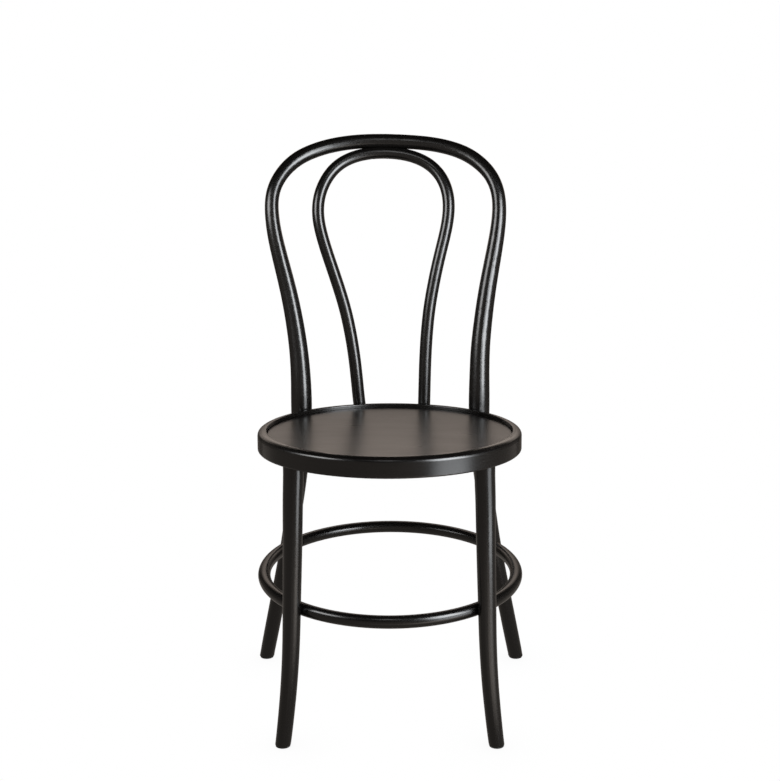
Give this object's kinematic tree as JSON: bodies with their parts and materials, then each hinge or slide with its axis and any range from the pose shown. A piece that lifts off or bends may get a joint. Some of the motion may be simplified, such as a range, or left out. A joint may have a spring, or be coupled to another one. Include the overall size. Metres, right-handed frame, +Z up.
{
  "type": "bentwood side chair",
  "caption": "Armless bentwood dining chair with a round seat, a double hoop back, splayed round legs and a round stretcher hoop.",
  "frame": {"origin": "centre of the chair's outline on the floor", "axes": "+Z up, -Y towards the front of the chair, +X to the right of someone who faces the chair"},
  "size_m": [0.4578, 0.5006, 0.8957],
  "materials": {
    "black_lacquered_wood": "satin black lacquer over bent solid wood",
    "black_lacquered_ply": "satin black lacquer over plywood",
    "black_zinc_steel": "blackened steel",
    "glide_plastic": "moulded matte"
  },
  "bodies": {
    "root": {"seat_ring": "black_lacquered_wood", "seat_panel": "black_lacquered_ply", "back_hoop": "black_lacquered_wood", "inner_hoop": "black_lacquered_wood", "front_leg_left": "black_lacquered_wood", "front_leg_right": "black_lacquered_wood", "stretcher_ring": "black_lacquered_wood", "rear_leg_bolts": "black_zinc_steel", "rear_leg_washers": "black_zinc_steel", "rear_leg_nuts": "black_zinc_steel", "front_leg_screws": "black_zinc_steel", "stretcher_screws": "black_zinc_steel", "inner_hoop_screws": "black_zinc_steel", "hoop_joint_screws": "black_zinc_steel", "glide_front_left": "glide_plastic", "glide_front_right": "glide_plastic", "glide_rear_left": "glide_plastic", "glide_rear_right": "glide_plastic", "glide_nails": "black_zinc_steel"}
  },
  "joints": []
}
